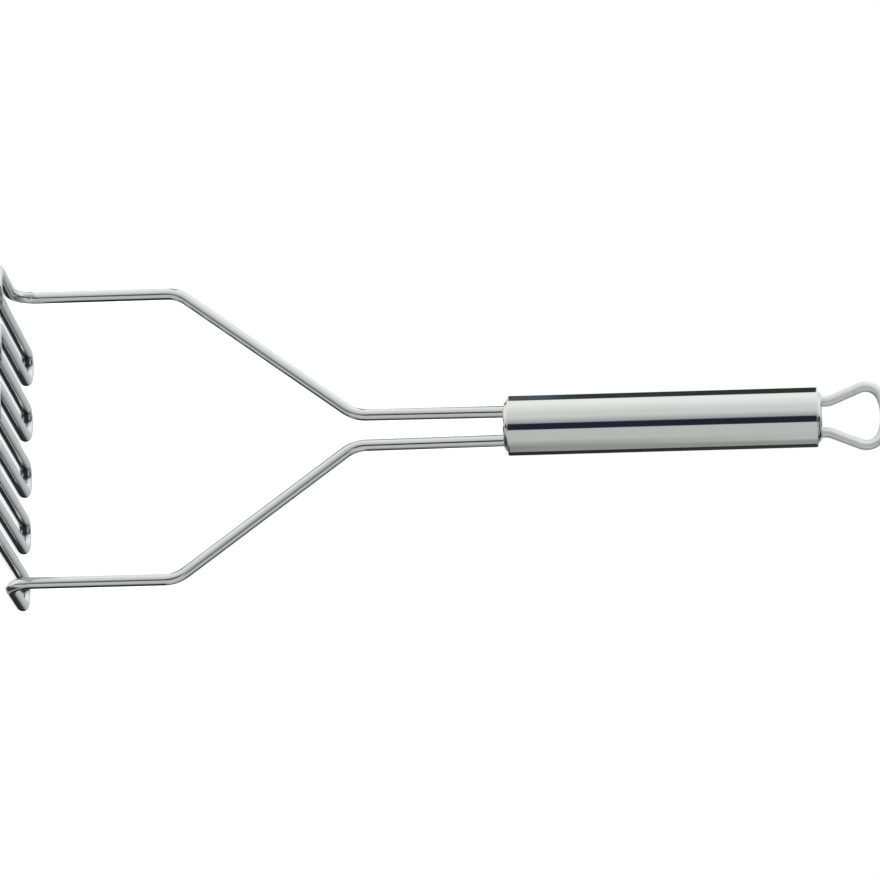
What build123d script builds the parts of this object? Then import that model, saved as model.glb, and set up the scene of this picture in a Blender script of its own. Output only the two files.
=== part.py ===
"""A potato masher bent from one round wire, with a polished tube handle and a wire hanging loop.

The masher stands on its grid of rungs, with z = 0 under the rungs and +Z up along the handle.
X runs across the rungs, from one arm to the other, and Y runs along them. Every length is in
millimetres.
"""

import os
from math import cos, radians, sin, sqrt, tan

from build123d import *

# Masher wire
wire_diameter = 4.0
head_width = 100.0
head_depth = 70.0
full_rungs = 9
foot_bend_radius = 8.0

# Arms, from the surface that the masher stands on up to the handle
shoulder_height = 58.6
shoulder_to_neck = 59.9
neck_length = 50.2
shoulder_bend_radius = 12.0
neck_bend_radius = 12.0
leg_spacing = 10.0
neck_spread = 0.66
leg_insertion = 13.0

# Handle tube
handle_diameter = 20.0
tube_length = 103.7
tube_wall = 1.0
tube_edge_radius = 0.35

# End cups
front_cap_stand_out = 1.4
rear_cap_stand_out = 1.4
cap_depth = 8.0
cap_wall = 1.0
cap_rim_radius = 2.5
cap_fit_clearance = 0.05
wire_hole_clearance = 0.1

# Hanging loop, with its widest place measured from the rear cap's face
loop_wire_diameter = 3.4
loop_leg_spacing = 10.7
loop_insertion = 7.0
loop_exit_radius = 6.0
loop_flare_angle = 23.0
loop_width = 20.2
loop_widest_height = 14.6
loop_corner_radius = 5.5
loop_end_radius = 17.5

# Weld beads inside the cups
bead_width = 0.8
bead_height = 1.6
bead_clearance = 0.02

# Sizes and places that follow from the ones above
wire_radius = wire_diameter / 2
loop_wire_radius = loop_wire_diameter / 2
rung_pitch = head_width / (full_rungs + 1)
hairpin_radius = rung_pitch / 2
rung_reach = head_depth / 2 - hairpin_radius
handle_radius = handle_diameter / 2
tube_bore_radius = handle_radius - tube_wall
cap_radius = tube_bore_radius - cap_fit_clearance
neck_height = shoulder_height + shoulder_to_neck
handle_bottom = neck_height + neck_length
tube_bottom = handle_bottom + front_cap_stand_out
tube_top = tube_bottom + tube_length
handle_top = tube_top + rear_cap_stand_out

# The outer faces of the two end cups, each with its normal out of the handle
front_face = Plane(origin=(0, 0, handle_bottom), x_dir=(1, 0, 0), z_dir=(0, 0, -1))
rear_face = Plane(origin=(0, 0, handle_top), x_dir=(1, 0, 0), z_dir=(0, 0, 1))

os.makedirs("parts", exist_ok=True)


def runs_between(points, bend_radii):
    """The straight runs through these points, shortened where bends round the corners."""
    starts = [points[0]]
    ends = []
    for before, corner, after, bend_radius in zip(points, points[1:], points[2:], bend_radii):
        to_before = (before - corner).normalized()
        to_after = (after - corner).normalized()
        setback = bend_radius / tan(radians(to_before.get_angle(to_after)) / 2)
        ends.append(corner + to_before * setback)
        starts.append(corner + to_after * setback)
    ends.append(points[-1])
    return list(zip(starts, ends))


def arm_runs(side):
    """One arm's straight runs, from its end inside the handle to the end of its half rung."""
    lean = neck_spread / 2 / neck_length
    inner_end = leg_spacing / 2 - leg_insertion * lean
    neck = (leg_spacing + neck_spread) / 2
    foot = head_width / 2
    points = [
        Vector(side * inner_end, 0, handle_bottom + leg_insertion),
        Vector(side * neck, 0, neck_height),
        Vector(side * foot, 0, shoulder_height),
        Vector(side * foot, 0, wire_radius),
        Vector(side * foot, side * rung_reach, wire_radius),
    ]
    return runs_between(points, [neck_bend_radius, shoulder_bend_radius, foot_bend_radius])


def rung_run(number):
    """A full rung's straight run, with the rungs taken by turns from near to far and back."""
    x = number * rung_pitch - head_width / 2
    start_y = -rung_reach if number % 2 else rung_reach
    return Vector(x, start_y, wire_radius), Vector(x, -start_y, wire_radius)


def end_cup(face, hole_spacing, hole_radius):
    """A drawn cup that closes one end of the tube, with two holes through its face."""
    with BuildPart() as cup:
        with BuildSketch(face):
            Circle(cap_radius)
        extrude(amount=-cap_depth)
        rim = cup.edges().filter_by(GeomType.CIRCLE).sort_by(Axis(face.origin, face.z_dir))[-1]
        fillet(rim, cap_rim_radius)
        with BuildSketch(face.offset(-cap_depth)):
            Circle(cap_radius - cap_wall)
        extrude(amount=cap_depth - cap_wall, mode=Mode.SUBTRACT)
        with BuildSketch(face):
            with GridLocations(hole_spacing, 0, 2, 1):
                Circle(hole_radius)
        extrude(amount=-cap_depth, mode=Mode.SUBTRACT)
    return cup


def weld_beads(face, leg_spacing_here, leg_radius):
    """Two conical beads on the inner side of a cup's face, one round each wire end."""
    root = leg_radius + bead_clearance
    with BuildPart() as beads:
        for side in (-1, 1):
            seat = face.offset(-cap_wall)
            leg_centre = seat.from_local_coords((side * leg_spacing_here / 2, 0, 0))
            section = Plane(origin=leg_centre, x_dir=face.x_dir, z_dir=face.z_dir.cross(face.x_dir))
            with BuildSketch(section):
                with BuildLine():
                    Polyline((root, 0), (root + bead_width, 0), (root, bead_height), close=True)
                make_face()
            revolve(axis=Axis(leg_centre, face.z_dir))
    return beads


# Masher wire, one length from the handle round the whole grid and back
full_rung_runs = [rung_run(number) for number in range(1, full_rungs + 1)]
far_arm_runs = [(end, start) for start, end in reversed(arm_runs(1))]
wire_runs = arm_runs(-1) + full_rung_runs + far_arm_runs
with BuildPart() as masher_wire:
    with BuildLine() as wire_line:
        for (start, end), (next_start, _) in zip(wire_runs, wire_runs[1:]):
            Line(start, end)
            TangentArc(end, next_start, tangent=end - start)
        Line(*wire_runs[-1])
    wire_path = wire_line.wire()
    with BuildSketch(Plane(origin=wire_path @ 0, z_dir=wire_path % 0)):
        Circle(wire_radius)
    sweep(path=wire_path)
masher_wire.part.label = "masher_wire"
export_step(masher_wire.part, "parts/masher_wire.step")

# Handle tube, with its two outer edges rounded
with BuildPart() as handle_tube:
    with BuildSketch(Plane.XY.offset(tube_bottom)):
        Circle(handle_radius)
        Circle(tube_bore_radius, mode=Mode.SUBTRACT)
    extrude(amount=tube_length)
    end_circles = handle_tube.edges().filter_by(GeomType.CIRCLE).sort_by(SortBy.RADIUS)[-2:]
    fillet(end_circles, tube_edge_radius)
handle_tube.part.label = "handle_tube"
export_step(handle_tube.part, "parts/handle_tube.step")

# Front cup, which the masher wire's two ends pass through
front_cap = end_cup(front_face, leg_spacing, wire_radius + wire_hole_clearance)
front_cap.part.label = "front_cap"
export_step(front_cap.part, "parts/front_cap.step")

# Rear cup, which the hanging loop's two ends pass through
rear_cap = end_cup(rear_face, loop_leg_spacing, loop_wire_radius + wire_hole_clearance)
rear_cap.part.label = "rear_cap"
export_step(rear_cap.part, "parts/rear_cap.step")

# Hanging loop, drawn as its +X half in the plane of the arms and mirrored
flare = radians(loop_flare_angle)
corner_centre_x = loop_width / 2 - loop_corner_radius
corner_centre_z = handle_top + loop_widest_height
end_reach = loop_end_radius - loop_corner_radius
end_centre_z = corner_centre_z - sqrt(end_reach**2 - corner_centre_x**2)
corner_share = loop_end_radius / end_reach
loop_tip = Vector(0, 0, end_centre_z + loop_end_radius)
corner_end = Vector(
    corner_centre_x * corner_share,
    0,
    end_centre_z + (corner_centre_z - end_centre_z) * corner_share,
)
corner_start = Vector(
    corner_centre_x + loop_corner_radius * cos(flare),
    0,
    corner_centre_z - loop_corner_radius * sin(flare),
)
leg_x = loop_leg_spacing / 2
flare_bottom = Vector(leg_x, 0, corner_start.Z - (corner_start.X - leg_x) / tan(flare))
leg_end = Vector(leg_x, 0, handle_top - loop_insertion)
with BuildPart() as hanging_loop:
    with BuildLine() as loop_line:
        leg, flared_leg = runs_between([leg_end, flare_bottom, corner_start], [loop_exit_radius])
        Line(*leg)
        TangentArc(leg[1], flared_leg[0], tangent=leg[1] - leg[0])
        Line(*flared_leg)
        TangentArc(corner_start, corner_end, tangent=flared_leg[1] - flared_leg[0])
        TangentArc(loop_tip, corner_end, tangent=(1, 0, 0))
        mirror(about=Plane.YZ)
    loop_path = loop_line.wire()
    with BuildSketch(Plane(origin=loop_path @ 0, z_dir=loop_path % 0)):
        Circle(loop_wire_radius)
    sweep(path=loop_path)
hanging_loop.part.label = "hanging_loop"
export_step(hanging_loop.part, "parts/hanging_loop.step")

# Weld beads that hold the masher wire's ends in the front cup
arm_weld_beads = weld_beads(front_face, leg_spacing, wire_radius)
arm_weld_beads.part.label = "arm_weld_beads"
export_step(arm_weld_beads.part, "parts/arm_weld_beads.step")

# Weld beads that hold the hanging loop's ends in the rear cup
loop_weld_beads = weld_beads(rear_face, loop_leg_spacing, loop_wire_radius)
loop_weld_beads.part.label = "loop_weld_beads"
export_step(loop_weld_beads.part, "parts/loop_weld_beads.step")
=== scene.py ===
"""The looks of a potato masher: one bent steel wire, a polished tube handle and a hanging loop.

The masher stands on its grid of rungs, as in the part's source: z = 0 is under the rungs, +Z runs
up along the handle, X across the rungs and Y along them. Blender works in metres, so sizes are
written as millimetres times MM, and angles as degrees times DEG.
"""

import logging
import math
from collections.abc import Sequence
from dataclasses import dataclass, field
from enum import Enum

import bmesh
import bpy
from mathutils import Matrix, Vector

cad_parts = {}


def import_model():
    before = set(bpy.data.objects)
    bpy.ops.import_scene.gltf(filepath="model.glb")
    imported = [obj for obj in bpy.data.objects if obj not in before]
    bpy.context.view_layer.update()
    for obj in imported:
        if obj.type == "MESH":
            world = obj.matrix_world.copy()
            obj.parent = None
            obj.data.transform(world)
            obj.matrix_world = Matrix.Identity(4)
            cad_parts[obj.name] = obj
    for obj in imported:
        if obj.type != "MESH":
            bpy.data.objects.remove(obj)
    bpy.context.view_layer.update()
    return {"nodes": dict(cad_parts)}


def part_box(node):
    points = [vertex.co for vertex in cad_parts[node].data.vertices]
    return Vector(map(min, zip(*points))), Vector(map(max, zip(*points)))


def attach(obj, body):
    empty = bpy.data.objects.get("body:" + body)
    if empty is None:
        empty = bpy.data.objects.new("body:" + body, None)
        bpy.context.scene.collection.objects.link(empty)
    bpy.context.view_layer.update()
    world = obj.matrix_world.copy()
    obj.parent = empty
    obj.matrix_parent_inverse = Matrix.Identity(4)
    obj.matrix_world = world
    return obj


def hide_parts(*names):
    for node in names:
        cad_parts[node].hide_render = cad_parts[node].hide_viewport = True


MM = 0.001
DEG = math.pi / 180
BODY = "root"
DRAWN = "drawn"
# Name of the wire's mask of painted shade and dulling in tight bends.
BEND_SHADE_AND_DULLING = "bend_shade_and_dulling"
SHARP_ANGLE = 40 * DEG
WIRE_SHARP_ANGLE = 50 * DEG

log = logging.getLogger("masher")


# Shader maths


@dataclass(frozen=True)
class Value:
    """A number socket of a node tree, on which Python's operators add Math nodes."""

    graph: "Graph"
    socket: bpy.types.NodeSocket

    def maths(self, operation: str, *numbers: "Value | float") -> "Value":
        """Add one Math node.

        Args:
            operation: The Math node's operation.
            numbers: The node's inputs, in order.

        Returns:
            The node's result.
        """
        inputs = dict(enumerate(numbers))
        made = self.graph.node("ShaderNodeMath", {"operation": operation}, inputs)
        return Value(self.graph, made.outputs[0])

    def __add__(self, other: "Value | float") -> "Value":
        """Return this plus the other."""
        return self.maths("ADD", self, other)

    def __radd__(self, other: float) -> "Value":
        """Return the other plus this."""
        return self.maths("ADD", other, self)

    def __sub__(self, other: "Value | float") -> "Value":
        """Return this less the other."""
        return self.maths("SUBTRACT", self, other)

    def __rsub__(self, other: float) -> "Value":
        """Return the other less this."""
        return self.maths("SUBTRACT", other, self)

    def __mul__(self, other: "Value | float") -> "Value":
        """Return this times the other."""
        return self.maths("MULTIPLY", self, other)

    def __rmul__(self, other: float) -> "Value":
        """Return the other times this."""
        return self.maths("MULTIPLY", other, self)

    def __truediv__(self, other: "Value | float") -> "Value":
        """Return this divided by the other."""
        return self.maths("DIVIDE", self, other)

    def either(self, other: "Value | float") -> "Value":
        """Return the larger of this and the other."""
        return self.maths("MAXIMUM", self, other)

    def angle_from(self, other: "Value") -> "Value":
        """Return the angle whose opposite side is this and whose adjacent side is the other."""
        return self.maths("ARCTAN2", self, other)

    def fade(self, low: float, high: float, at_low: float = 0.0, at_high: float = 1.0) -> "Value":
        """Map this smoothly from one range to another.

        Args:
            low: Where the change starts.
            high: Where the change ends.
            at_low: The result up to low.
            at_high: The result from high on.

        Returns:
            The mapped value.
        """
        inputs = {"Value": self, "From Min": low, "From Max": high}
        inputs |= {"To Min": at_low, "To Max": at_high}
        smooth = {"interpolation_type": "SMOOTHSTEP"}
        made = self.graph.node("ShaderNodeMapRange", smooth, inputs)
        return Value(self.graph, made.outputs["Result"])

    def between(self, low: float, high: float, blur: float) -> "Value":
        """Return 1 between two limits and 0 outside them, with this much blur each side."""
        return self.fade(low - blur, low + blur) * self.fade(high - blur, high + blur, 1.0, 0.0)


class Graph:
    """A node tree that is filled from Python expressions."""

    def __init__(self, tree: bpy.types.NodeTree) -> None:
        """Empty the tree and keep it."""
        tree.nodes.clear()
        self.tree = tree

    def node(
        self,
        kind: str,
        settings: dict[str, object] | None = None,
        inputs: dict[str | int, object] | None = None,
    ) -> bpy.types.Node:
        """Add one node.

        Args:
            kind: The node's type.
            settings: Its own settings, set first; "stops" are a ramp's positions and colours.
            inputs: A value, colour, vector, socket or Value for each named or numbered input.

        Returns:
            The new node.
        """
        made = self.tree.nodes.new(kind)
        for name, value in (settings or {}).items():
            if name == "stops":
                self._set_stops(made.color_ramp, value)
            else:
                setattr(made, name, value)
        for name, value in (inputs or {}).items():
            self.feed(made, name, value)
        return made

    def feed(self, node: bpy.types.Node, name: str | int, value: object) -> None:
        """Give one input of a node a value, colour, vector, socket or Value."""
        source = value.socket if isinstance(value, Value) else value
        if isinstance(source, bpy.types.NodeSocket):
            self.tree.links.new(source, node.inputs[name])
        else:
            node.inputs[name].default_value = source

    @staticmethod
    def _set_stops(
        ramp: bpy.types.ColorRamp, stops: Sequence[tuple[float, Sequence[float]]]
    ) -> None:
        """Give a ramp its stops.

        Args:
            ramp: The ramp of a new node, which has two stops.
            stops: Each stop's position and colour, from low to high.
        """
        first, last = ramp.elements
        first.position, first.color = stops[0][0], (*stops[0][1], 1.0)
        last.position, last.color = stops[-1][0], (*stops[-1][1], 1.0)
        for position, colour in stops[1:-1]:
            ramp.elements.new(position).color = (*colour, 1.0)

    def value(self, node: bpy.types.Node, output: str | int = 0) -> Value:
        """Return one output of a node as a Value."""
        return Value(self, node.outputs[output])

    def vector_maths(
        self, operation: str, vector: bpy.types.NodeSocket, other: Sequence[float]
    ) -> bpy.types.Node:
        """Return a Vector Math node for a vector and three plain numbers."""
        return self.node("ShaderNodeVectorMath", {"operation": operation}, {0: vector, 1: other})

    def mix_colours(
        self,
        factor: Value,
        first: Sequence[float] | bpy.types.NodeSocket,
        second: Sequence[float] | bpy.types.NodeSocket,
    ) -> bpy.types.NodeSocket:
        """Mix two colours.

        Args:
            factor: 0 for the first colour and 1 for the second.
            first: A colour of three numbers, or a colour socket.
            second: A colour of three numbers, or a colour socket.

        Returns:
            The mixed colour's socket.
        """
        colours = [
            colour if isinstance(colour, bpy.types.NodeSocket) else (*colour, 1.0)
            for colour in (first, second)
        ]
        mix = self.node(
            "ShaderNodeMix", {"data_type": "RGBA"}, {0: factor, 6: colours[0], 7: colours[1]}
        )
        return mix.outputs[2]

    def noise(
        self, vector: bpy.types.NodeSocket, stretch: Sequence[float], detail: float = 2.0
    ) -> Value:
        """Add noise whose grain differs along the three axes.

        Args:
            vector: The place on the surface, in metres.
            stretch: Grains per metre along each axis.
            detail: The Noise Texture's detail.

        Returns:
            The noise, from 0 to 1 and mostly near 0.5.
        """
        place = self.vector_maths("MULTIPLY", vector, stretch)
        made = self.node(
            "ShaderNodeTexNoise",
            inputs={"Vector": place.outputs[0], "Scale": 1.0, "Detail": detail, "Roughness": 0.5},
        )
        return self.value(made)


def new_material(name: str) -> tuple[bpy.types.Material, Graph]:
    """Return a new material with its emptied node tree."""
    made = bpy.data.materials.new(name)
    made.use_nodes = True
    return made, Graph(made.node_tree)


# Finishes


class Slot(Enum):
    """The record's material slots."""

    POLISHED_TUBE = "polished_tube"
    DRAWN_WIRE = "drawn_wire"
    WELD_METAL = "weld_metal"


Feeds = dict[str, Value | bpy.types.NodeSocket]


@dataclass(frozen=True)
class Finish:
    """A metal finish: a base to which each kind of finish adds its own pattern."""

    name: str
    slot: Slot
    colour: tuple[float, float, float]
    roughness: float

    def material(self) -> bpy.types.Material:
        """Make the finish's material, with its pattern in place."""
        made, graph = new_material(self.name)
        plain = {"Base Color": (*self.colour, 1.0), "Metallic": 1.0, "Roughness": self.roughness}
        shader = graph.node("ShaderNodeBsdfPrincipled", inputs=plain)
        for name, value in self.pattern(graph).items():
            graph.feed(shader, name, value)
        graph.node("ShaderNodeOutputMaterial", inputs={"Surface": shader.outputs[0]})
        return made

    def pattern(self, graph: Graph) -> Feeds:
        """Make the finish's pattern.

        Args:
            graph: The material's node tree.

        Returns:
            What feeds the shader's varying sockets.
        """
        return {}

    def shade(self, share: float) -> tuple[float, float, float]:
        """Return the finish's colour at a share of its brightness."""
        return tuple(channel * share for channel in self.colour)

    @staticmethod
    def bump(graph: Graph, height: Value, depth: float) -> bpy.types.NodeSocket:
        """Turn a height from 0 to 1 into a normal.

        Args:
            graph: The material's node tree.
            height: The height, as a share of the depth.
            depth: The relief's depth in metres.

        Returns:
            The bumped normal's socket.
        """
        made = graph.node("ShaderNodeBump", inputs={"Distance": depth, "Height": height})
        return made.outputs[0]


@dataclass(frozen=True)
class PolishedTube(Finish):
    """Mirror-polished tube with faint lengthwise polishing lines and a trace of haze."""

    line_width: float = 0.5 * MM
    line_length: float = 60 * MM
    line_shade: float = 0.93
    line_depth: float = 0.0004 * MM
    haze_size: float = 14 * MM

    def pattern(self, graph: Graph) -> Feeds:
        """Make polishing lines and haze.

        Args:
            graph: The material's node tree.

        Returns:
            What feeds the shader's varying sockets.
        """
        place = graph.node("ShaderNodeTexCoord").outputs["Object"]
        across, along, haze = 1 / self.line_width, 1 / self.line_length, 1 / self.haze_size
        lines = graph.noise(place, (across, across, along), detail=3.0)
        clouds = graph.noise(place, (haze, haze, haze))
        fine = lines.fade(0.35, 0.75)
        tone = 1.0 - 0.6 * fine * clouds.fade(0.4, 0.7)
        colour = graph.mix_colours(tone, self.shade(self.line_shade), self.colour)
        roughness = self.roughness * (0.8 + 0.5 * fine + 0.4 * clouds.fade(0.45, 0.7))
        normal = self.bump(graph, lines, self.line_depth)
        return {"Base Color": colour, "Roughness": roughness, "Normal": normal}


@dataclass(frozen=True)
class PressedCap(Finish):
    """A pressed and polished cup: the tube's steel with fine round lathe lines."""

    ring_pitch: float = 0.25 * MM
    ring_depth: float = 0.0006 * MM

    def pattern(self, graph: Graph) -> Feeds:
        """Make rings about the cup's middle.

        Args:
            graph: The material's node tree.

        Returns:
            What feeds the shader's varying sockets.
        """
        place = graph.node("ShaderNodeTexCoord").outputs["Object"]
        across = graph.vector_maths("MULTIPLY", place, (1.0, 1.0, 0.0))
        outwards = graph.node(
            "ShaderNodeVectorMath", {"operation": "LENGTH"}, {0: across.outputs[0]}
        )
        pitches = graph.value(outwards, "Value") / self.ring_pitch
        rings = graph.node(
            "ShaderNodeTexNoise",
            {"noise_dimensions": "1D"},
            {"W": pitches, "Scale": 1.0, "Detail": 2.0},
        )
        ring = graph.value(rings)
        roughness = self.roughness * (0.7 + 0.6 * ring)
        return {"Roughness": roughness, "Normal": self.bump(graph, ring, self.ring_depth)}


@dataclass(frozen=True)
class DrawnWire(Finish):
    """Bright drawn wire, with die lines that run along it and follow its bends.

    The inner side of a tight bend gets painted shade, a darker colour, and is also duller.
    """

    # Share of the colour left in the painted shade on the inner side of tight bends.
    painted_bend_shade: float
    pinch_roughness: float = 0.25
    line_width: float = 0.22 * MM
    line_length: float = 45 * MM
    line_shade: float = 0.88
    line_depth: float = 0.0012 * MM
    satin_width: float = 0.9 * MM

    def pattern(self, graph: Graph) -> Feeds:
        """Make die lines, and the painted shade and dulling of tight bends, from the wire's own
        attributes.

        Args:
            graph: The material's node tree.

        Returns:
            What feeds the shader's varying sockets.
        """
        place = graph.node("ShaderNodeAttribute", {"attribute_name": DRAWN})
        drawn = place.outputs["Vector"]
        line, satin, along = 1 / self.line_width, 1 / self.satin_width, 1 / self.line_length
        lines = graph.noise(drawn, (line, line, along), detail=3.0)
        broad = graph.noise(drawn, (satin, satin, along / 2))
        scratches = lines.fade(0.3, 0.72)
        tone = 1.0 - 0.5 * scratches - 0.4 * broad.fade(0.45, 0.7)
        bright = graph.mix_colours(tone, self.shade(self.line_shade), self.colour)
        # Painted shade: darken the inner side of tight bends, standing for the dark surroundings
        # it mirrors, and make it duller.
        mark = graph.node("ShaderNodeAttribute", {"attribute_name": BEND_SHADE_AND_DULLING})
        bend_shade_and_dulling = graph.value(mark, "Fac").fade(0.1, 0.7)
        colour = graph.mix_colours(bend_shade_and_dulling, bright, self.shade(self.painted_bend_shade))
        drawn_roughness = self.roughness * (0.6 + 0.6 * scratches + 0.4 * broad.fade(0.4, 0.7))
        roughness = drawn_roughness + self.pinch_roughness * bend_shade_and_dulling
        normal = self.bump(graph, lines, self.line_depth)
        return {"Base Color": colour, "Roughness": roughness, "Normal": normal}


@dataclass(frozen=True)
class WeldMetal(Finish):
    """Matt weld metal with rippled relief and straw to blue heat colours."""

    ripple: float = 0.35 * MM
    ripple_depth: float = 0.05 * MM
    patch: float = 1.75 * MM
    straw: tuple[float, float, float] = (0.42, 0.33, 0.2)
    blue: tuple[float, float, float] = (0.24, 0.27, 0.36)

    def pattern(self, graph: Graph) -> Feeds:
        """Make ripples and heat colours.

        Args:
            graph: The material's node tree.

        Returns:
            What feeds the shader's varying sockets.
        """
        place = graph.node("ShaderNodeTexCoord").outputs["Object"]
        ripples = graph.noise(place, (1 / self.ripple,) * 3, detail=4.0)
        tint = graph.node(
            "ShaderNodeValToRGB",
            {"stops": [(0.3, self.straw), (0.5, self.colour), (0.7, self.blue)]},
            {"Fac": graph.noise(place, (1 / self.patch,) * 3)},
        )
        roughness = self.roughness * (0.8 + 0.4 * ripples)
        normal = self.bump(graph, ripples, self.ripple_depth)
        return {"Base Color": tint.outputs[0], "Roughness": roughness, "Normal": normal}


TUBE_FINISH = PolishedTube("polished_tube", Slot.POLISHED_TUBE, (0.80, 0.80, 0.79), 0.06)
CAP_FINISH = PressedCap("pressed_cap", Slot.POLISHED_TUBE, (0.78, 0.78, 0.77), 0.09)
# The last number of each wire finish is its painted shade on the inner side of tight bends.
WIRE_FINISH = DrawnWire("drawn_wire", Slot.DRAWN_WIRE, (0.84, 0.835, 0.83), 0.13, 0.06)
LOOP_FINISH = DrawnWire("drawn_loop_wire", Slot.DRAWN_WIRE, (0.98, 0.98, 0.975), 0.58, 0.45)
WELD_FINISH = WeldMetal("weld_metal", Slot.WELD_METAL, (0.45, 0.43, 0.4), 0.5)


# Mesh work


def add_object(name: str, data: bpy.types.ID) -> bpy.types.Object:
    """Add an object with this data to the scene."""
    made = bpy.data.objects.new(name, data)
    bpy.context.scene.collection.objects.link(made)
    return made


def add_piece(
    name: str,
    shape: bmesh.types.BMesh,
    material: bpy.types.Material,
    sharp_angle: float = SHARP_ANGLE,
) -> bpy.types.Object:
    """Turn a finished shape into a smooth-shaded object at the origin.

    Args:
        name: The piece's name.
        shape: The shape in its place, which is freed.
        material: The piece's material.
        sharp_angle: Edges that turn by more than this stay sharp.

    Returns:
        The new object.
    """
    mesh = bpy.data.meshes.new(name)
    shape.to_mesh(mesh)
    shape.free()
    mesh.shade_smooth()
    mesh.set_sharp_from_angle(angle=sharp_angle)
    mesh.materials.append(material)
    return add_object(name, mesh)


def stand_in(piece: bpy.types.Object, node: str) -> None:
    """Let a piece stand for a node of the part.

    Args:
        piece: The dressed piece.
        node: The node that it replaces.
    """
    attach(piece, BODY)
    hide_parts(node)
    low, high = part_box(node)
    corners = [vertex.co for vertex in piece.data.vertices]
    gap = max(
        max(abs(min(c[i] for c in corners) - low[i]), abs(max(c[i] for c in corners) - high[i]))
        for i in range(3)
    )
    log.info("%s: %d faces, %.3f mm off its node's box", node, len(piece.data.polygons), gap / MM)


@dataclass
class BentWire:
    """A round wire that is fed forward and bent, the way a wire former works.

    Its mesh carries a vector for each vertex: the place across the wire's section, and the length
    of wire fed so far, so that a pattern can run along the wire round every bend. It also carries
    a mask of painted shade, the most on the inner side of tight bends and just before them, where
    the finish paints the colour darker and makes the surface duller.
    """

    radius: float
    at: Vector
    heading: Vector
    ring_segments: int = 56
    step_angle: float = 4 * DEG
    lead: float = 0.4 * MM
    approach: float = 12 * MM
    tight: float = 5 * MM
    shade_edge: float = 0.82
    hold: float = 0.25
    release: float = 0.37
    fed: float = 0.0
    shape: bmesh.types.BMesh = field(init=False)
    drawn: bmesh.types.BMLayerItem = field(init=False)
    bend_shade_and_dulling: bmesh.types.BMLayerItem = field(init=False)
    ring: list[bmesh.types.BMEdge] = field(init=False)

    def __post_init__(self) -> None:
        """Make the first ring, across the heading."""
        self.shape = bmesh.new()
        self.bend_shade_and_dulling = self.shape.verts.layers.float.new(BEND_SHADE_AND_DULLING)
        self.drawn = self.shape.verts.layers.float_vector.new(DRAWN)
        made = bmesh.ops.create_circle(
            self.shape, segments=self.ring_segments, radius=self.radius, cap_ends=False
        )
        for vertex in made["verts"]:
            vertex[self.drawn] = vertex.co
        turned = self.heading.to_track_quat("Z", "Y").to_matrix().to_4x4()
        place = Matrix.Translation(self.at) @ turned
        bmesh.ops.transform(self.shape, matrix=place, verts=made["verts"])
        self.ring = list(self.shape.edges)
        self.close_end()

    def close_end(self) -> None:
        """Close the wire's present end with a face."""
        bmesh.ops.edgeloop_fill(self.shape, edges=self.ring)

    def _extrude(self) -> list[bmesh.types.BMVert]:
        """Extrude the present ring in place and return the new ring's vertices."""
        made = bmesh.ops.extrude_edge_only(self.shape, edges=self.ring)["geom"]
        self.ring = [e for e in made if isinstance(e, bmesh.types.BMEdge)]
        return [v for v in made if isinstance(v, bmesh.types.BMVert)]

    def _mark(
        self, ring_vertices: list[bmesh.types.BMVert], length: float, inner_shade: Vector
    ) -> None:
        """Write the length fed so far and the painted bend shade on a new ring.

        Args:
            ring_vertices: The ring's vertices.
            length: The length that this ring adds.
            inner_shade: How strong the painted bend shade is there, pointing to the bend's inner
                side.
        """
        self.fed += length
        beside = self.shade_edge * inner_shade.length
        for vertex in ring_vertices:
            across = vertex[self.drawn]
            vertex[self.drawn] = Vector((across.x, across.y, self.fed))
            # Painted shade mask: strongest on the side of the ring that faces the bend's inner
            # side.
            inner = (vertex.co - self.at).dot(inner_shade) / self.radius
            vertex[self.bend_shade_and_dulling] = max(0.0, inner - beside) / (1 - self.shade_edge)

    def feed(self, length: float, inner_shade: Vector | None = None) -> None:
        """Feed a straight length.

        The first and last bits are rings of their own, so that a bend's shading stays in the bend.

        Args:
            length: The straight length.
            inner_shade: The painted bend shade where the next bend starts, which grows over the
                length's last part.
        """
        lead = min(self.lead, length / 3)
        approach = min(self.approach, length / 2)
        parts = (lead, length - lead - approach, approach - lead, lead)
        for part, grown in zip(parts, (0.0, 0.0, 1 - lead / approach, 1.0)):
            vertices = self._extrude()
            bmesh.ops.translate(self.shape, verts=vertices, vec=self.heading * part)
            self.at = self.at + self.heading * part
            self._mark(vertices, part, (inner_shade or Vector()) * grown)

    def bend(self, radius: float, toward: Vector, angle: float) -> None:
        """Bend the wire.

        Args:
            radius: The bend's radius at the wire's middle.
            toward: The side to which it bends.
            angle: How far it turns.
        """
        inward = (toward - self.heading * toward.dot(self.heading)).normalized()
        centre = self.at + inward * radius
        steps = max(3, round(angle / self.step_angle))
        turn = Matrix.Rotation(angle / steps, 3, self.heading.cross(inward))
        for step in range(1, steps + 1):
            vertices = self._extrude()
            bmesh.ops.rotate(self.shape, cent=centre, matrix=turn, verts=vertices)
            self.at = centre + turn @ (self.at - centre)
            self.heading = (turn @ self.heading).normalized()
            inner_shade = self.bend_shade_towards(centre - self.at, radius) * self.bend_shade_share(step / steps)
            self._mark(vertices, radius * angle / steps, inner_shade)

    def bend_shade_share(self, share: float) -> float:
        """Return the strength of the painted bend shade at a share of a bend, from 1 at its start
        to 0.
        """
        return math.cos(math.pi / 2 * min(1.0, max(0.0, share - self.hold) / self.release))

    def bend_shade_towards(self, toward: Vector, radius: float) -> Vector:
        """Return the painted bend shade towards a bend's inner side, by the bend's radius."""
        return toward.normalized() * (self.tight / radius) ** 2

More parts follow.
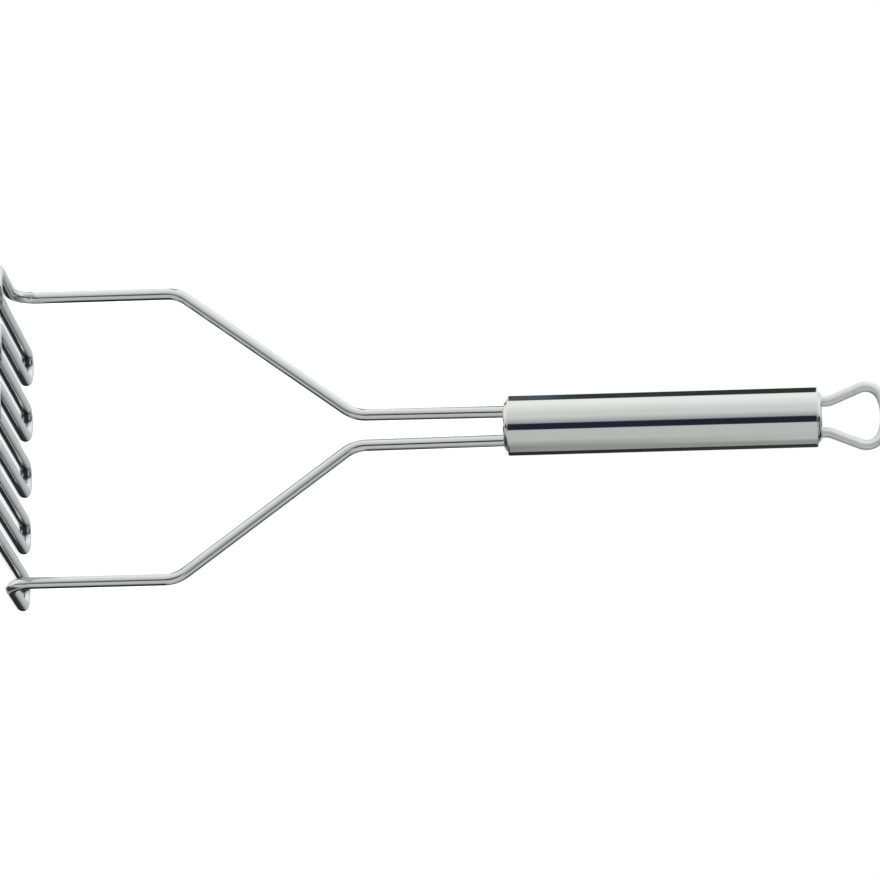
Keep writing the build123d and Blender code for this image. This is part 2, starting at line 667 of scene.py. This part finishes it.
    def follow(self, corners: Sequence[Vector], radii: Sequence[float]) -> None:
        """Follow straight runs from the present place, with a bend at each corner but the last.

        Args:
            corners: The corners, and then the place where the last run ends.
            radii: The bend radius at each corner.
        """
        for corner, after, radius in zip(corners, corners[1:], radii):
            onward = (after - corner).normalized()
            angle = self.heading.angle(onward)
            self.feed((corner - self.at).length - radius * math.tan(angle / 2))
            self.bend(radius, onward, angle)
        self.feed((corners[-1] - self.at).length)

    def finish(self) -> bmesh.types.BMesh:
        """Close the wire's end and return its shape with its faces outwards."""
        self.close_end()
        bmesh.ops.recalc_face_normals(self.shape, faces=self.shape.faces)
        return self.shape


# The masher's own sub-assemblies


@dataclass
class Handle:
    """The polished tube and the two pressed cups that close it."""

    radius: float = 10 * MM
    wall: float = 1 * MM
    bottom: float = 170.1 * MM
    length: float = 103.7 * MM
    edge_radius: float = 0.35 * MM
    cap_clearance: float = 0.05 * MM
    front_stand_out: float = 1.4 * MM
    rear_stand_out: float = 1.4 * MM
    cap_depth: float = 8 * MM
    cap_wall: float = 1 * MM
    cap_rim_radius: float = 2.5 * MM
    face_margin: float = 0.1 * MM
    arm_spacing: float = 10 * MM
    arm_hole_radius: float = 2.1 * MM
    loop_spacing: float = 10.7 * MM
    loop_hole_radius: float = 1.8 * MM
    round_segments: int = 144
    hole_segments: int = 48
    edge_steps: int = 5
    rim_steps: int = 14
    join_distance: float = 0.001 * MM
    level_distance: float = 0.01 * MM
    cup_material: bpy.types.Material = field(init=False)

    def tube(self) -> bmesh.types.BMesh:
        """Spin the wall's section round the axis and round the two outer edges."""
        shape = bmesh.new()
        bmesh.ops.create_grid(shape, x_segments=1, y_segments=1, size=0.5)
        stretch = Matrix.Diagonal((self.wall, self.length, 1, 1))
        stand = Matrix.Rotation(math.pi / 2, 4, "X")
        middle = Vector((self.radius - self.wall / 2, 0, self.bottom + self.length / 2))
        place = Matrix.Translation(middle) @ stand @ stretch
        bmesh.ops.transform(shape, matrix=place, verts=shape.verts)
        bmesh.ops.delete(shape, geom=shape.faces[:], context="FACES_ONLY")
        bmesh.ops.spin(
            shape,
            geom=shape.verts[:] + shape.edges[:],
            cent=(0, 0, 0),
            axis=(0, 0, 1),
            angle=2 * math.pi,
            steps=self.round_segments,
            use_merge=True,
        )
        bmesh.ops.remove_doubles(shape, verts=shape.verts, dist=self.join_distance)
        bmesh.ops.recalc_face_normals(shape, faces=shape.faces)
        outer = self.radius - self.wall / 2
        rims = [
            edge
            for edge in shape.edges
            if abs(edge.verts[0].co.z - edge.verts[1].co.z) < self.edge_radius
            and all(v.co.xy.length > outer for v in edge.verts)
        ]
        self.round_edges(shape, rims, self.edge_radius, self.edge_steps)
        for end, inward in ((self.bottom, 1), (self.bottom + self.length, -1)):
            self.ring_cut(shape, end + inward * 2 * self.edge_radius)
        return shape

    @staticmethod
    def add_bar(
        shape: bmesh.types.BMesh, radius: float, length: float, segments: int, middle: Vector
    ) -> None:
        """Add a round bar that lies along the handle, about this middle."""
        bmesh.ops.create_cone(
            shape,
            cap_ends=True,
            segments=segments,
            radius1=radius,
            radius2=radius,
            depth=length,
            matrix=Matrix.Translation(middle),
        )

    @staticmethod
    def round_edges(
        shape: bmesh.types.BMesh, edges: list[bmesh.types.BMEdge], radius: float, steps: int
    ) -> None:
        """Round a shape's edges to a radius, in this many steps."""
        bmesh.ops.bevel(
            shape,
            geom=edges,
            offset=radius,
            offset_type="OFFSET",
            segments=steps,
            profile=0.5,
            affect="EDGES",
            material=-1,
        )

    @staticmethod
    def ring_cut(shape: bmesh.types.BMesh, height: float) -> None:
        """Cut an edge ring at a height, so that a rim's shading stays at the rim."""
        bmesh.ops.bisect_plane(
            shape,
            geom=shape.verts[:] + shape.edges[:] + shape.faces[:],
            plane_co=(0, 0, height),
            plane_no=(0, 0, 1),
        )

    def cup(self) -> bmesh.types.BMesh:
        """Press a cup whose face lies at z = 0 and whose skirt hangs down."""
        shape = bmesh.new()
        radius = self.radius - self.wall - self.cap_clearance
        middle = Vector((0, 0, -self.cap_depth / 2))
        self.add_bar(shape, radius, self.cap_depth, self.round_segments, middle)
        bottom = min(shape.faces, key=lambda face: face.calc_center_median().z)
        bmesh.ops.inset_region(shape, faces=[bottom], thickness=self.cap_wall)
        hollow = bmesh.ops.extrude_discrete_faces(shape, faces=[bottom])["faces"]
        bmesh.ops.translate(
            shape,
            vec=(0, 0, self.cap_depth - self.cap_wall),
            verts=list({vertex for face in hollow for vertex in face.verts}),
        )
        rim = [
            edge
            for edge in shape.edges
            if all(abs(v.co.z) < self.level_distance for v in edge.verts)
        ]
        self.round_edges(shape, rim, self.cap_rim_radius, self.rim_steps)
        face = max(shape.faces, key=lambda face: face.calc_center_median().z)
        bmesh.ops.inset_region(shape, faces=[face], thickness=self.face_margin)
        self.ring_cut(shape, -self.cap_rim_radius - self.face_margin)
        bmesh.ops.recalc_face_normals(shape, faces=shape.faces)
        return shape

    def punch(
        self, cup: bpy.types.Object, height: float, hole_spacing: float, hole_radius: float
    ) -> None:
        """Punch the two holes for the wire's ends through a cup in its place.

        Args:
            cup: The cup's object.
            height: The height of its face.
            hole_spacing: The distance between the middles of the holes.
            hole_radius: The radius of each hole.
        """
        tool = bmesh.new()
        for side in (-1, 1):
            middle = Vector((side * hole_spacing / 2, 0, height))
            self.add_bar(tool, hole_radius, 4 * self.cap_wall, self.hole_segments, middle)
        tool_mesh = bpy.data.meshes.new("punch")
        tool.to_mesh(tool_mesh)
        tool.free()
        punch = add_object("punch", tool_mesh)
        cut = cup.modifiers.new("holes", "BOOLEAN")
        cut.operation = "DIFFERENCE"
        cut.solver = "EXACT"
        cut.object = punch
        bpy.context.view_layer.update()
        evaluated = cup.evaluated_get(bpy.context.evaluated_depsgraph_get())
        punched = bpy.data.meshes.new_from_object(evaluated)
        cup.modifiers.clear()
        cup.data = punched
        punched.shade_smooth()
        punched.set_sharp_from_angle(angle=SHARP_ANGLE)
        bpy.data.objects.remove(punch)

    def fit_cup(
        self, name: str, node: str, place: Matrix, hole_spacing: float, hole_radius: float
    ) -> None:
        """Press a cup, punch it in its place and let it stand for its node.

        Args:
            name: The piece's name.
            node: The node that it replaces.
            place: What brings the cup's face to its place.
            hole_spacing: The distance between the middles of its holes.
            hole_radius: The radius of each hole.
        """
        shape = self.cup()
        bmesh.ops.transform(shape, matrix=place, verts=shape.verts)
        piece = add_piece(name, shape, self.cup_material)
        self.punch(piece, place.translation.z, hole_spacing, hole_radius)
        stand_in(piece, node)

    def build(self) -> None:
        """Make the tube and both cups and let them stand for their nodes."""
        tube = add_piece("polished_handle", self.tube(), TUBE_FINISH.material())
        stand_in(tube, "handle_tube")
        self.cup_material = CAP_FINISH.material()
        front_height = self.bottom - self.front_stand_out
        front = Matrix.Translation((0, 0, front_height)) @ Matrix.Rotation(math.pi, 4, "X")
        self.fit_cup("front_cup", "front_cap", front, self.arm_spacing, self.arm_hole_radius)
        rear = Matrix.Translation((0, 0, self.bottom + self.length + self.rear_stand_out))
        self.fit_cup("rear_cup", "rear_cap", rear, self.loop_spacing, self.loop_hole_radius)


@dataclass
class MashingHead:
    """The wire that makes both arms and the whole grid of rungs."""

    wire_radius: float = 2 * MM
    width: float = 100 * MM
    depth: float = 70 * MM
    full_rungs: int = 9
    foot_radius: float = 8 * MM
    shoulder_height: float = 58.6 * MM
    neck_height: float = 118.5 * MM
    shoulder_radius: float = 12 * MM
    neck_radius: float = 12 * MM
    handle_height: float = 168.7 * MM
    leg_spacing: float = 10 * MM
    neck_spread: float = 0.66 * MM
    insertion: float = 13 * MM

    def arm(self, side: int) -> list[Vector]:
        """List an arm's corners, from its end in the handle to the middle of its foot.

        Args:
            side: -1 or 1, for the arm at -X or +X.

        Returns:
            The end, the neck, the shoulder and the foot.
        """
        lean = self.neck_spread / 2 / (self.handle_height - self.neck_height)
        inner = self.leg_spacing / 2 - self.insertion * lean
        return [
            Vector((side * inner, 0, self.handle_height + self.insertion)),
            Vector((side * (self.leg_spacing + self.neck_spread) / 2, 0, self.neck_height)),
            Vector((side * self.width / 2, 0, self.shoulder_height)),
            Vector((side * self.width / 2, 0, self.wire_radius)),
        ]

    def wire(self) -> bmesh.types.BMesh:
        """Feed and bend the one wire from the handle round the grid and back."""
        pitch = self.width / (self.full_rungs + 1)
        reach = (self.depth - pitch) / 2
        end, *bends = self.arm(-1)
        former = BentWire(self.wire_radius, end, (bends[0] - end).normalized())
        radii = [self.neck_radius, self.shoulder_radius, self.foot_radius]
        former.follow([*bends, bends[-1] - Vector((0, reach, 0))], radii)
        across = Vector((1, 0, 0))
        for _ in range(self.full_rungs):
            former.bend(pitch / 2, across, math.pi)
            former.feed(2 * reach, former.bend_shade_towards(across, pitch / 2))
        former.bend(pitch / 2, across, math.pi)
        former.follow(list(reversed(self.arm(1))), list(reversed(radii)))
        return former.finish()

    def build(self) -> None:
        """Make the wire and let it stand for its node."""
        material = WIRE_FINISH.material()
        piece = add_piece("bent_masher_wire", self.wire(), material, WIRE_SHARP_ANGLE)
        stand_in(piece, "masher_wire")


@dataclass
class HangingLoop:
    """The thinner wire behind the handle, bent to a loop with a shallow rounded end."""

    wire_radius: float = 1.7 * MM
    leg_spacing: float = 10.7 * MM
    face_height: float = 275.2 * MM
    insertion: float = 7 * MM
    exit_radius: float = 6 * MM
    flare: float = 23 * DEG
    width: float = 20.2 * MM
    widest_height: float = 14.6 * MM
    corner_radius: float = 5.5 * MM
    end_radius: float = 17.5 * MM

    def wire(self) -> bmesh.types.BMesh:
        """Feed and bend the loop from one leg over its end to the other leg."""
        corner_x = self.width / 2 - self.corner_radius
        sideways = math.asin(corner_x / (self.end_radius - self.corner_radius))
        leg_x = self.leg_spacing / 2
        flare_rise = self.corner_radius * math.sin(self.flare)
        flare_x = corner_x + self.corner_radius * math.cos(self.flare)
        kink_height = self.widest_height - flare_rise - (flare_x - leg_x) / math.tan(self.flare)
        setback = self.exit_radius * math.tan(self.flare / 2)
        leg = self.insertion + kink_height - setback
        flared = (flare_x - leg_x) / math.sin(self.flare) - setback
        out, inward = Vector((1, 0, 0)), Vector((-1, 0, 0))
        start = Vector((leg_x, 0, self.face_height - self.insertion))
        former = BentWire(self.wire_radius, start, Vector((0, 0, 1)))
        former.feed(leg)
        former.bend(self.exit_radius, out, self.flare)
        former.feed(flared)
        former.bend(self.corner_radius, inward, self.flare + math.pi / 2 - sideways)
        former.bend(self.end_radius, Vector((-1, 0, -1)), 2 * sideways)
        former.bend(self.corner_radius, Vector((0, 0, -1)), self.flare + math.pi / 2 - sideways)
        former.feed(flared)
        former.bend(self.exit_radius, inward, self.flare)
        former.feed(leg)
        return former.finish()

    def build(self) -> None:
        """Make the loop and let it stand for its node."""
        material = LOOP_FINISH.material()
        piece = add_piece("bent_hanging_loop", self.wire(), material, WIRE_SHARP_ANGLE)
        stand_in(piece, "hanging_loop")


@dataclass
class Welds:
    """The weld beads inside the two cups, which keep their solids and get a finish."""

    nodes: tuple[str, ...] = ("arm_weld_beads", "loop_weld_beads")

    def build(self, nodes: dict[str, bpy.types.Object]) -> None:
        """Dress the beads.

        Args:
            nodes: The part's node objects by name.
        """
        material = WELD_FINISH.material()
        for name in self.nodes:
            mesh = nodes[name].data
            mesh.materials.clear()
            mesh.materials.append(material)
            log.info("%s: dressed", name)


# The studio


class Light(Enum):
    """The colours that polished metal finds round it in the studio, from dark to light."""

    CAMERA_SIDE = (0.017, 0.021, 0.036)
    BELOW_BEHIND = (0.022, 0.026, 0.026)
    ABOVE_BEHIND = (0.028, 0.042, 0.038)
    DARK_SIDE = (0.05, 0.055, 0.06)
    WINDOW = (0.075, 0.105, 0.14)
    DIM = (0.15, 0.16, 0.165)
    BACKDROP_FOOT = (0.24, 0.26, 0.27)
    TABLE_FAR = (0.335, 0.345, 0.335)
    OVER_CAMERA = (0.36, 0.39, 0.43)
    TABLE_MIDDLE = (0.45, 0.46, 0.45)
    BACKDROP_LOW = (0.49, 0.53, 0.54)
    OVER_CAMERA_HIGH = (0.49, 0.51, 0.53)
    TABLE = (0.585, 0.6, 0.59)
    BACKDROP = (0.6, 0.64, 0.66)
    SOFTBOX_EDGE = (0.71, 0.73, 0.73)
    SOFTBOX_NEAR = (0.74, 0.76, 0.755)
    SOFTBOX = (0.83, 0.85, 0.84)
    BACKDROP_HIGH = (0.9, 0.93, 0.94)
    SOFTBOX_FAR = (0.99, 1.01, 0.99)


@dataclass(frozen=True)
class Card:
    """A card in the studio, placed by its direction from the masher.

    The angle runs about the handle's axis in degrees, from the camera towards the studio's
    overhead. The rise is the direction's share along the handle.
    """

    light: Light
    angle_from: float
    angle_to: float
    rise_from: float
    rise_to: float
    angle_blur: float
    rise_blur: float

    def cover(self, angle: Value, rise: Value) -> Value:
        """Work out how much of each direction the card covers.

        Args:
            angle: The direction's angle.
            rise: The direction's rise.

        Returns:
            1 on the card and 0 off it.
        """
        across = angle.between(self.angle_from, self.angle_to, self.angle_blur)
        along = rise.between(self.rise_from, self.rise_to, self.rise_blur)
        return across * along


@dataclass(frozen=True)
class BlackBoard:
    """A square black board in the studio, near enough that only one end of the masher mirrors it.

    Its direction is given as a card's, from the place of the masher that it's meant for.
    """

    place: Vector
    angle: float
    rise: float
    distance: float
    size: float

    def stand(self, front: Vector, overhead: Vector) -> Matrix:
        """Work out how a square from -1 to 1 becomes the board.

        Args:
            front: The level direction of the camera.
            overhead: The direction of the studio's overhead.

        Returns:
            The square's transform.
        """
        level = math.sqrt(1 - self.rise**2)
        turned = self.angle * DEG
        across = level * (front * math.cos(turned) + overhead * math.sin(turned))
        outward = Vector((across.x, across.y, self.rise))
        turn = outward.to_track_quat("Z", "Y").to_matrix().to_4x4()
        scale = Matrix.Diagonal((self.size / 2, self.size / 2, 1.0, 1.0))
        return Matrix.Translation(self.place + self.distance * outward) @ turn @ scale


@dataclass
class Studio:
    """A plain white studio, with the camera of the photograph.

    The photographed masher lay on its side, so the studio's own overhead is near -X here. Metal
    sees soft light overhead, the dark camera side, a pale table under it, and darkness behind
    except to the right of the backdrop's edge.
    """

    aim: Vector = field(default_factory=lambda: Vector((3.79, 1.5, 147.15)) * MM)
    distance: float = 1700 * MM
    azimuth: float = 15.84 * DEG
    elevation: float = 4.03 * DEG
    roll: float = 88.39 * DEG
    sensor: float = 36.0
    lens: float = 207.2
    camera_reach: float = 20.0
    ring_lights: tuple[tuple[float, Light], ...] = (
        (-180, Light.TABLE_FAR),
        (-93, Light.TABLE_FAR),
        (-72, Light.TABLE_MIDDLE),
        (-60, Light.TABLE),
        (-10, Light.TABLE),
        (8, Light.OVER_CAMERA),
        (16, Light.OVER_CAMERA_HIGH),
        (30, Light.SOFTBOX_EDGE),
        (48, Light.SOFTBOX_NEAR),
        (62, Light.SOFTBOX),
        (90, Light.SOFTBOX_FAR),
        (112, Light.SOFTBOX_FAR),
        (150, Light.SOFTBOX),
        (180, Light.SOFTBOX),
    )
    backdrop_lights: tuple[tuple[float, Light], ...] = (
        (-180, Light.BACKDROP),
        (-161, Light.BACKDROP_LOW),
        (-144, Light.BACKDROP_FOOT),
        (-138, Light.DIM),
        (-110, Light.DIM),
        (110, Light.BACKDROP_HIGH),
        (150, Light.BACKDROP_HIGH),
        (180, Light.BACKDROP),
    )
    cards: tuple[Card, ...] = (
        Card(Light.ABOVE_BEHIND, 113.0, 220.0, -0.062, 0.06, 1.5, 0.0015),
        Card(Light.WINDOW, 116.0, 160.0, -0.0545, -0.047, 6.0, 0.003),
        Card(Light.DIM, 112.0, 166.0, -0.52, -0.28, 8.0, 0.02),
        Card(Light.BELOW_BEHIND, -220.0, -124.0, -0.062, 0.02, 2.0, 0.0015),
        Card(Light.BELOW_BEHIND, -220.0, -84.0, -0.34, -0.062, 8.0, 0.0015),
        Card(Light.DARK_SIDE, -190.0, -84.0, -0.92, -0.54, 8.0, 0.04),
        Card(Light.DIM, -130.0, -45.0, 0.8, 0.97, 8.0, 0.04),
        Card(Light.DARK_SIDE, -162.0, -136.0, -0.02, 0.14, 4.0, 0.05),
        Card(Light.DIM, -17.0, 3.0, -0.5, 0.22, 1.5, 0.04),
        Card(Light.CAMERA_SIDE, -17.0, 7.0, -0.14, 0.12, 1.5, 0.02),
        Card(Light.CAMERA_SIDE, -17.0, 7.0, -1.0, -0.72, 1.5, 0.02),
        Card(Light.CAMERA_SIDE, -28.0, 26.0, -1.0, -0.94, 1.5, 0.02),
        Card(Light.CAMERA_SIDE, -24.0, 4.0, 0.48, 1.0, 1.5, 0.03),
        Card(Light.CAMERA_SIDE, -36.0, 4.0, 0.82, 1.0, 1.5, 0.03),
        Card(Light.CAMERA_SIDE, -72.0, 12.0, 0.94, 1.0, 1.5, 0.02),
        Card(Light.DIM, -28.0, 0.0, -0.7, -0.45, 6.0, 0.04),
        Card(Light.DARK_SIDE, -30.0, -2.0, 0.36, 0.52, 4.0, 0.02),
        Card(Light.DARK_SIDE, -140.0, -92.0, 0.48, 0.6, 6.0, 0.02),
        Card(Light.TABLE, -94.0, -62.0, -0.02, 0.3, 9.0, 0.03),
    )
    boards: tuple[BlackBoard, ...] = (
        BlackBoard(Vector((5, 0, 275)) * MM, -140.0, 0.78, 300 * MM, 200 * MM),
    )
    backdrop_edge: tuple[float, float] = (-0.42, -0.36)
    backdrop_foot: tuple[float, float] = (0.0, 0.13)
    floor_radius: float = 3.0
    floor_segments: int = 96
    floor_white: float = 0.9
    floor_lift: float = 0.5
    ambient: float = 0.85
    lamp_power: float = 9.0
    lamp_size: float = 0.8
    lamp_place: Vector = field(default_factory=lambda: Vector((-0.7, -0.6, 1.5)))

    def towards_camera(self) -> Vector:
        """Return the direction from the masher to the camera."""
        level = math.cos(self.elevation)
        return Vector(
            (
                level * math.sin(self.azimuth),
                -level * math.cos(self.azimuth),
                math.sin(self.elevation),
            )
        )

    def camera(self) -> None:
        """Set up the photograph's camera."""
        back = self.towards_camera()
        level_right = Vector((0, 0, 1)).cross(back).normalized()
        level_up = back.cross(level_right)
        right = level_right * math.cos(self.roll) + level_up * math.sin(self.roll)
        up = back.cross(right)
        turn = Matrix((right, up, back)).transposed().to_4x4()
        data = bpy.data.cameras.new("photograph")
        data.sensor_width = self.sensor
        data.lens = self.lens
        data.clip_end = self.camera_reach
        made = add_object("photograph", data)
        made.matrix_world = Matrix.Translation(self.aim + back * self.distance) @ turn
        bpy.context.scene.camera = made

    def sides(self) -> tuple[Vector, Vector]:
        """Return the level directions of the camera and of the studio's overhead."""
        front = self.towards_camera().xy.normalized()
        return front, Vector((front.y, -front.x))

    @staticmethod
    def ring(
        graph: Graph, share: Value, lights: Sequence[tuple[float, Light]]
    ) -> bpy.types.NodeSocket:
        """Lay lights round the handle's axis.

        Args:
            graph: The world's node tree.
            share: The direction's angle, as a share of the turn from -180 to 180 degrees.
            lights: Each light with its angle in degrees, from low to high.

        Returns:
            The ring's colour socket.
        """
        stops = [((degrees + 180) / 360, light.value) for degrees, light in lights]
        return graph.node("ShaderNodeValToRGB", {"stops": stops}, {"Fac": share}).outputs[0]

    @staticmethod
    def rays(graph: Graph) -> tuple[Value, Value]:
        """Return what is 1 for camera rays, and what is 1 for mirrored and refracted ones."""
        path = graph.node("ShaderNodeLightPath")
        camera, glossy, through = (
            graph.value(path, f"Is {kind} Ray") for kind in ("Camera", "Glossy", "Transmission")
        )
        return camera, glossy.either(through)

    def surroundings(self) -> None:
        """Make the world: white to the camera, plain light, and the studio in the metal."""
        world = bpy.data.worlds.new("studio")
        world.use_nodes = True
        bpy.context.scene.world = world
        graph = Graph(world.node_tree)
        direction = graph.node("ShaderNodeTexCoord").outputs["Generated"]
        front, overhead = self.sides()
        ahead, above, rise = (
            graph.value(graph.vector_maths("DOT_PRODUCT", direction, axis), "Value")
            for axis in ((*front, 0.0), (*overhead, 0.0), (0.0, 0.0, 1.0))
        )
        angle = above.angle_from(ahead) / DEG
        share = angle / 360 + 0.5
        ring = self.ring(graph, share, self.ring_lights)
        backdrop = self.ring(graph, share, self.backdrop_lights)
        behind = ahead.fade(*self.backdrop_edge, 1.0, 0.0) * rise.fade(*self.backdrop_foot)
        studio = graph.mix_colours(behind, ring, backdrop)
        for card in self.cards:
            studio = graph.mix_colours(card.cover(angle, rise), studio, card.light.value)
        seen, mirrored = self.rays(graph)
        plain = graph.mix_colours(seen, (self.ambient,) * 3, (1.0,) * 3)
        light = graph.mix_colours(mirrored, plain, studio)
        background = graph.node("ShaderNodeBackground", inputs={"Color": light, "Strength": 1.0})
        graph.node("ShaderNodeOutputWorld", inputs={"Surface": background.outputs[0]})

    def floor(self) -> None:
        """Lay a plain pale floor that keeps a faint shadow."""
        shape = bmesh.new()
        bmesh.ops.create_circle(
            shape, cap_ends=True, segments=self.floor_segments, radius=self.floor_radius
        )
        material, graph = new_material("pale_floor")
        seen, mirrored = self.rays(graph)
        lift = graph.mix_colours(seen.either(mirrored), (0.0,) * 3, (self.floor_lift,) * 3)
        shader = graph.node(
            "ShaderNodeBsdfPrincipled",
            inputs={
                "Base Color": (*(self.floor_white,) * 3, 1.0),
                "Roughness": 1.0,
                "Specular IOR Level": 0.0,
                "Emission Color": lift,
                "Emission Strength": 1.0,
            },
        )
        graph.node("ShaderNodeOutputMaterial", inputs={"Surface": shader.outputs[0]})
        piece = add_piece("pale_floor", shape, material)
        piece.visible_glossy = False

    def stand_boards(self) -> None:
        """Stand the black boards behind the masher, which only its metal mirrors."""
        material, graph = new_material("black_board")
        colour = (*Light.BELOW_BEHIND.value, 1.0)
        black = graph.node("ShaderNodeEmission", inputs={"Color": colour})
        graph.node("ShaderNodeOutputMaterial", inputs={"Surface": black.outputs[0]})
        front, overhead = self.sides()
        for number, board in enumerate(self.boards, 1):
            shape = bmesh.new()
            place = board.stand(front, overhead)
            bmesh.ops.create_grid(shape, x_segments=1, y_segments=1, size=1.0, matrix=place)
            piece = add_piece(f"black_board_{number}", shape, material)
            piece.visible_camera = False
            piece.visible_diffuse = False
            piece.visible_shadow = False

    def lamp(self) -> None:
        """Hang one large soft lamp, which the metal doesn't mirror."""
        data = bpy.data.lights.new("soft_lamp", "AREA")
        data.energy = self.lamp_power
        data.shape = "DISK"
        data.size = self.lamp_size
        made = add_object("soft_lamp", data)
        turn = self.lamp_place.to_track_quat("Z", "Y").to_matrix().to_4x4()
        made.matrix_world = Matrix.Translation(self.lamp_place) @ turn
        made.visible_glossy = False

    def build(self) -> None:
        """Set up the camera, surroundings, floor, boards and lamp."""
        bpy.context.scene.view_settings.view_transform = "Standard"
        self.camera()
        self.surroundings()
        self.floor()
        self.stand_boards()
        self.lamp()


def main() -> None:
    """Build the studio and the masher."""
    logging.basicConfig(level=logging.INFO, format="%(name)s: %(message)s")
    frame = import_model()
    Studio().build()
    Handle().build()
    MashingHead().build()
    HangingLoop().build()
    Welds().build(frame["nodes"])
    bpy.context.view_layer.update()


if __name__ == "__main__":
    main()
